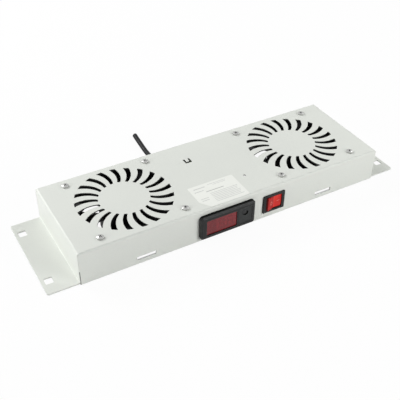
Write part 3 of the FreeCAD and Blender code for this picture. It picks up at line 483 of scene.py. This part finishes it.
# the material of each node
FINISH = {
    "housing": coat_grey, "fan_screws": zinc, "fan_nuts": zinc_dull, "earth_stud": zinc,
    "earth_washer": zinc_dull, "earth_nut": zinc_dull, "earth_tag": tin,
    "thermostat_bezel": bezel_black, "thermostat_window": window_red, "thermostat_panel": panel_grey,
    "thermostat_case": case_black, "thermostat_board": board_green,
    "thermostat_display": display_grey, "thermostat_key_switch": button_black,
    "thermostat_button": button_black, "thermostat_clips": clip_grey,
    "thermostat_terminals": terminal_green, "thermostat_terminal_screws": nickel,
    "switch_body": switch_black, "switch_snaps": switch_black, "switch_tabs": tin,
    "rocker": rocker_red, "rocker_plunger": nylon_white, "gland_body": nylon_black,
    "gland_locknut": nylon_black, "gland_dome_nut": nylon_black, "power_lead": sheath,
    "terminal_block": nylon_white, "terminal_block_screws": nickel, "supply_cores": core_brown,
    "switch_wires": core_brown, "earth_wire": core_green, "fan_wires_left": wire_grey,
    "fan_wires_right": wire_grey, "probe": probe_steel, "probe_clip": nylon_white,
}
# the same for the pieces of a fan, which come as left and right
BY_SIDE = {
    "fan_frame": frame_black, "fan_spider": spider_black_shaded, "fan_bearings": steel,
    "fan_stator": lamination, "fan_coils": copper, "fan_plug": case_black, "fan_tabs": tin,
    "rotor_can": can_black, "rotor_shaft": steel, "rotor_clip": steel, "impeller": impeller_black,
}
for kind, surface in BY_SIDE.items():
    FINISH[kind + "_left"] = surface
    FINISH[kind + "_right"] = surface
for name, obj in nodes.items():
    for place in obj.material_slots:
        place.material = FINISH[name].mat


# ------------------------------------------------------------------ building small pieces
def add_mesh(name, verts, faces, surface, body):
    mesh = bpy.data.meshes.new(name)
    mesh.from_pydata([tuple(v) for v in verts], [], faces)
    mesh.validate()
    mesh.materials.append(surface.mat)
    obj = bpy.data.objects.new(name, mesh)
    scene.collection.objects.link(obj)
    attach(obj, body)
    return obj


class Sheet:
    """Thin flat shapes on a face: origin in metres, two directions along it and the way out."""

    def __init__(self, origin, u, v):
        self.o = Vector(origin)
        self.u = Vector(u).normalized()
        self.v = Vector(v).normalized()
        self.n = self.u.cross(self.v)
        self.verts = []
        self.faces = []

    def at(self, a, b, h):
        """The point a, b along the face and h out of it, in millimetres."""
        return self.o + (self.u * a + self.v * b + self.n * h) / MM

    def polygon(self, points, low, high):
        """A prism over points (a, b) in millimetres, counter-clockwise."""
        k = len(points)
        start = len(self.verts)
        for h in (low, high):
            self.verts += [self.at(a, b, h) for a, b in points]
        self.faces.append(tuple(start + i for i in reversed(range(k))))
        self.faces.append(tuple(start + k + i for i in range(k)))
        for i in range(k):
            j = (i + 1) % k
            self.faces.append((start + i, start + j, start + k + j, start + k + i))

    def bar(self, a, b, w, h, low, high):
        """A bar w by h about the point (a, b)."""
        left, right, bottom, top = a - w / 2, a + w / 2, b - h / 2, b + h / 2
        self.polygon([(left, bottom), (right, bottom), (right, top), (left, top)], low, high)

    def ring(self, a, b, r_out, r_in, low, high, steps, squeeze=1.0):
        """A flat ring about (a, b); squeeze narrows it along a."""
        start = len(self.verts)
        for r in (r_out, r_in):
            for h in (low, high):
                for i in range(steps):
                    t = 2 * math.pi * i / steps
                    self.verts.append(self.at(a + r * squeeze * math.cos(t), b + r * math.sin(t), h))
        for i in range(steps):
            j = (i + 1) % steps
            ol, oh, il, ih = (start + s * steps for s in range(4))
            self.faces.append((ol + i, ol + j, oh + j, oh + i))
            self.faces.append((ih + i, ih + j, il + j, il + i))
            self.faces.append((oh + i, oh + j, ih + j, ih + i))
            self.faces.append((il + i, il + j, ol + j, ol + i))

    def make(self, name, surface, body):
        return add_mesh(name, self.verts, self.faces, surface, body)


def rounded(x0, x1, y0, y1, r, steps=6):
    """Corner points of a rounded rectangle, counter-clockwise."""
    left, right, bottom, top = x0 + r, x1 - r, y0 + r, y1 - r
    pts = []
    for cx, cy, a in ((right, bottom, -90), (right, top, 0), (left, top, 90), (left, bottom, 180)):
        for i in range(steps + 1):
            t = math.radians(a + 90.0 * i / steps)
            pts.append((cx + r * math.cos(t), cy + r * math.sin(t)))
    return pts


# ------------------------------------------------------------------ power lead
def circle(radius, steps):
    """Corner points of a circle, counter-clockwise."""
    turns = [2 * math.pi * i / steps for i in range(steps)]
    return [(radius * math.cos(t), radius * math.sin(t)) for t in turns]


def power_lead():
    """The lead as one spline from the gland, with its three cores at the cut end."""
    route = [
        (-0.0337, 0.05225, 0.0120), (-0.0337, 0.08825, 0.0120), (-0.0314, 0.11725, 0.00335),
        (-0.0293, 0.14525, 0.00335), (-0.0267, 0.1700, 0.00335),
    ]
    curve = bpy.data.curves.new("power_lead_sheath", "CURVE")
    curve.dimensions = "3D"
    spline = curve.splines.new("NURBS")
    spline.points.add(len(route) - 1)
    for point, place in zip(spline.points, route):
        point.co = place + (1.0,)
    spline.order_u = 3
    spline.use_endpoint_u = True
    curve.resolution_u = 16
    curve.bevel_depth = 0.0033
    curve.bevel_resolution = 8
    curve.use_fill_caps = True
    curve.materials.append(sheath.mat)
    lead = bpy.data.objects.new("power_lead_sheath", curve)
    scene.collection.objects.link(lead)
    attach(lead, "tray")
    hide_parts("power_lead")
    # the cut end: three cores about the middle, each a ring of insulation over copper strands
    skin_radius, strand_radius, from_middle = 1.15, 0.55, 1.5
    inside, skin_out, strands_out = -0.6, 0.10, 0.16
    rise = Vector((0, 0, 1))
    along = (Vector(route[-1]) - Vector(route[-2])).normalized()
    side = along.cross(rise).normalized()
    out_side = -side if side.cross(rise).dot(along) < 0 else side
    cores = ((core_brown, "brown"), (core_blue, "blue"), (core_green, "earth"))
    for k, (surface, label) in enumerate(cores):
        t = math.radians(90 + 120 * k)
        centre = Vector(route[-1]) + (side * math.cos(t) + rise * math.sin(t)) * from_middle / MM
        skin = Sheet(centre, out_side, rise)
        skin.ring(0, 0, skin_radius, strand_radius, inside, skin_out, 24)
        skin.make("lead_core_" + label, surface, "tray")
        strands = Sheet(centre, out_side, rise)
        strands.polygon(circle(strand_radius, 16), inside, strands_out)
        strands.make("lead_strands_" + label, copper, "tray")


# ------------------------------------------------------------------ top label
label_white = (Surface("label_white", srgb(241, 243, 237), 0.38, specular=0.5).vary(0.01, 40.0)
               .gloss(0.05, 90.0).bump(60.0, 0.0004, 0.08).bump(1400.0, 0.00002, 0.3))
label_grey = (Surface("label_rule", srgb(210, 212, 208), 0.45).vary(0.08, 700.0)
              .gloss(0.05, 300.0).bump(900.0, 0.00002, 0.3))
label_dark = (Surface("label_strong_rule", srgb(170, 172, 168), 0.45).vary(0.08, 700.0)
              .gloss(0.05, 300.0).bump(900.0, 0.00002, 0.3))


def top_label():
    """Plain paper label with one corner clipped, and rules in place of its print."""
    low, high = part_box("housing")
    x0, x1, y0, y1 = -47.5, 13.8, -64.3, -21.7
    corner, clip_x, clip_y = 1.6, 9.5, 12.5
    paper_low, paper_high, print_low, print_high = 0.02, 0.14, 0.13, 0.16
    on_top = (0, 0, high[2]), (1, 0, 0), (0, 1, 0)
    paper = Sheet(*on_top)
    pts = rounded(x0, x1, y0, y1, corner)
    pts = [p for p in pts if p[0] >= x0 + 4 or p[1] >= y0 + 4]
    pts += [(x0, y0 + clip_y), (x0 + clip_x, y0)]
    paper.polygon(pts, paper_low, paper_high)
    paper.make("top_label", label_white, "tray")
    # a heading, a short note and a block of seven: left, right, down from the far edge, height
    lines = [(5.5, 20.5, 6.0, 1.6), (4.0, 16.0, 11.6, 1.3), (25.0, 50.0, 4.0, 0.8),
             (31.0, 48.5, 6.4, 0.8), (4.5, 15.0, 26.0, 1.1), (4.5, 14.0, 29.4, 1.1)]
    for k in range(7):
        lines.append((20.0, 57.0 - (k % 3) * 1.5, 20.5 + 2.7 * k, 1.0))
    rules = Sheet(*on_top)
    for left, right, down, height in lines:
        rules.bar(x0 + (left + right) / 2, y1 - down, right - left, height, print_low, print_high)
    strong = Sheet(*on_top)
    strong.bar(x0 + 29.3, y1 - 15.6, 24.0, 0.9, print_low, print_high)
    strong.make("top_label_strong_rule", label_dark, "tray")
    rules.make("top_label_rules", label_grey, "tray")


# ------------------------------------------------------------------ thermostat face
digit_dim = (Surface("digit_unlit", srgb(112, 36, 42), 0.34, specular=0.3).vary(0.06, 300.0)
             .gloss(0.05, 400.0).bump(1600.0, 0.00002, 0.3))
# painted shade: near-black for the shade inside the panel's groove
groove_shade = (Surface("groove_shade", srgb(16, 17, 17), 0.6).vary(0.1, 300.0)
                .gloss(0.05, 300.0).bump(1600.0, 0.00002, 0.3))


def thermostat_face():
    """Three unlit digits with their points on the window, and at the panel's right a flat black strip
    as painted shade of a groove.
    """
    pitch, w, h, stroke, gap, point, raised = 11.4, 6.6, 6.2, 1.15, 1.4, 1.0, 0.05
    low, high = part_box("thermostat_window")
    face = Sheet(((low[0] + high[0]) / 2, low[1], (low[2] + high[2]) / 2), (1, 0, 0), (0, 0, 1))
    for a in (-pitch, 0, pitch):
        for b in (-h, 0, h):
            face.bar(a, b, w - gap, stroke, 0.0, raised)
        for side in (-1, 1):
            for b in (-h / 2, h / 2):
                face.bar(a + side * w / 2, b, stroke, h - gap, 0.0, raised)
        face.bar(a + w / 2 + 1.7, -h - 0.2, point, point, 0.0, raised)
    face.make("thermostat_digits", digit_dim, "tray")
    width, sunk, proud, inset = 0.5, -0.1, 0.03, 0.35
    low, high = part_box("thermostat_panel")
    panel = ((low[0] + high[0]) / 2, low[1] + inset / MM, (low[2] + high[2]) / 2)
    groove = Sheet(panel, (1, 0, 0), (0, 0, 1))
    half = (high[0] - low[0]) * MM / 2
    groove.bar(half - 2.6, -1.6, width, 15.6, sunk, proud)
    groove.bar(half - 4.2, -9.4, 3.6, width, sunk, proud)
    groove.make("thermostat_panel_groove_shade", groove_shade, "tray")


# ------------------------------------------------------------------ rocker marks
mark_white = (Surface("mark_white", srgb(222, 122, 112), 0.4, specular=0.2).vary(0.04, 300.0)
              .gloss(0.05, 400.0).bump(1600.0, 0.00002, 0.3))


def rocker_marks():
    """A ring on the left half of the rocker's face and a dash on the right half."""
    pivot = Vector((0.0472, -0.06325, 0.0205))
    at_rest = math.radians(9.0)
    end_x, end_y, middle_y = 10.663, -5.504, -3.815     # the two ends of the face and its middle
    sunk, proud = -0.05, 0.02

    def at(x, y):
        across = x * math.cos(at_rest) - y * math.sin(at_rest)
        back = x * math.sin(at_rest) + y * math.cos(at_rest)
        return pivot + Vector((across, back, 0)) / MM

    left, middle, right = at(-end_x, end_y), at(0.0, middle_y), at(end_x, end_y)
    off = Sheet((left + middle) / 2, middle - left, (0, 0, 1))
    off.ring(0.2, 0, 2.6, 1.8, sunk, proud, 36, 0.72)
    off.make("rocker_mark_off", mark_white, "rocker")
    on = Sheet((middle + right) / 2, right - middle, (0, 0, 1))
    on.bar(0.4, 0, 4.2, 0.8, sunk, proud)
    on.make("rocker_mark_on", mark_white, "rocker")


power_lead()
top_label()
thermostat_face()
rocker_marks()

bpy.context.view_layer.update()
